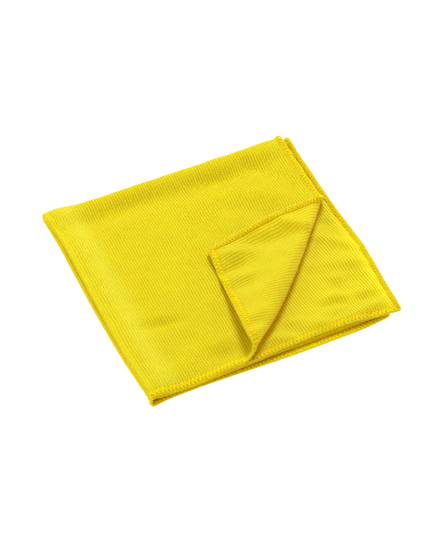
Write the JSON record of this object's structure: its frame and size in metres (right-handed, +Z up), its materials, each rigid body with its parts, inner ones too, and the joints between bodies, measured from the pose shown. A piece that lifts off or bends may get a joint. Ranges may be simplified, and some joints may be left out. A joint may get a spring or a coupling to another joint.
{
  "type": "microfibre cloth",
  "caption": "Square knitted cleaning cloth with overlocked edges, folded in quarters, its front right top corner turned back over a loose diagonal fold.",
  "frame": {"origin": "on the surface that the cloth lies on, under the middle of its folded outline", "axes": "+Z up through the stack of layers, +Y towards the back fold, +X towards the open right edges, ribs along Y"},
  "size_m": [0.2033, 0.2017, 0.0231],
  "materials": {
    "microfibre_knit": "fine ribbed microfibre knit, soft and matt with a slight sheen on the ribs"
  },
  "bodies": {
    "root": {"cloth": "microfibre_knit"}
  },
  "joints": []
}
